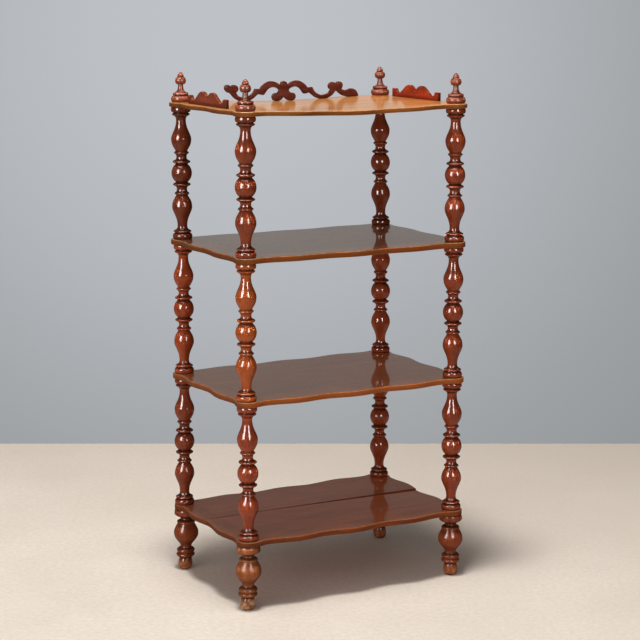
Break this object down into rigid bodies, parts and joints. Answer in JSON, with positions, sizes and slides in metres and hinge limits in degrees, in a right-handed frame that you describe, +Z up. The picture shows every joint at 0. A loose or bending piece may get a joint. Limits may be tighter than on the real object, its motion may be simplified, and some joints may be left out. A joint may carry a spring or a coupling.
{
  "type": "etagere",
  "caption": "Tall open etagere with wavy-edged shelves on turned spindle posts, turned feet and finials, and fret-sawn galleries round the top shelf.",
  "frame": {"origin": "on the floor under the middle of the four posts, the centre of the bounding box's bottom", "axes": "+Z up, +X towards the right-hand end seen from the front, +Y towards the back gallery"},
  "size_m": [0.6504, 0.4374, 1.3026],
  "materials": {
    "post_wood": "glossy French polish over red-brown mahogany, dark in the grooves",
    "warm_post_wood": "glossy French polish over more orange mahogany",
    "foot_wood": "worn polish over lighter wood, rubbed at the edges",
    "shelf_wood": "glossy polish over brown mahogany with lengthwise grain and rubbed edges",
    "top_shelf_wood": "glossy polish over faded honey-coloured mahogany",
    "gallery_wood": "satin polish over dark red-brown mahogany",
    "dowel_wood": "bare wood"
  },
  "bodies": {
    "root": {"bottom_shelf_front_board": "shelf_wood", "bottom_shelf_back_board": "shelf_wood", "lower_middle_shelf": "shelf_wood", "upper_middle_shelf": "shelf_wood", "top_shelf": "top_shelf_wood", "front_left_foot": "foot_wood", "front_left_lower_spindle": "post_wood", "front_left_middle_spindle": "warm_post_wood", "front_left_upper_spindle": "post_wood", "front_left_finial": "post_wood", "front_right_foot": "foot_wood", "front_right_lower_spindle": "post_wood", "front_right_middle_spindle": "warm_post_wood", "front_right_upper_spindle": "post_wood", "front_right_finial": "post_wood", "back_left_foot": "foot_wood", "back_left_lower_spindle": "post_wood", "back_left_middle_spindle": "warm_post_wood", "back_left_upper_spindle": "post_wood", "back_left_finial": "post_wood", "back_right_foot": "foot_wood", "back_right_lower_spindle": "post_wood", "back_right_middle_spindle": "warm_post_wood", "back_right_upper_spindle": "post_wood", "back_right_finial": "post_wood", "back_gallery": "gallery_wood", "back_gallery_dowel_1": "dowel_wood", "back_gallery_dowel_2": "dowel_wood", "back_gallery_dowel_3": "dowel_wood", "back_gallery_dowel_4": "dowel_wood", "left_gallery": "gallery_wood", "left_gallery_dowel_1": "dowel_wood", "left_gallery_dowel_2": "dowel_wood", "right_gallery": "gallery_wood", "right_gallery_dowel_1": "dowel_wood", "right_gallery_dowel_2": "dowel_wood"}
  },
  "joints": []
}
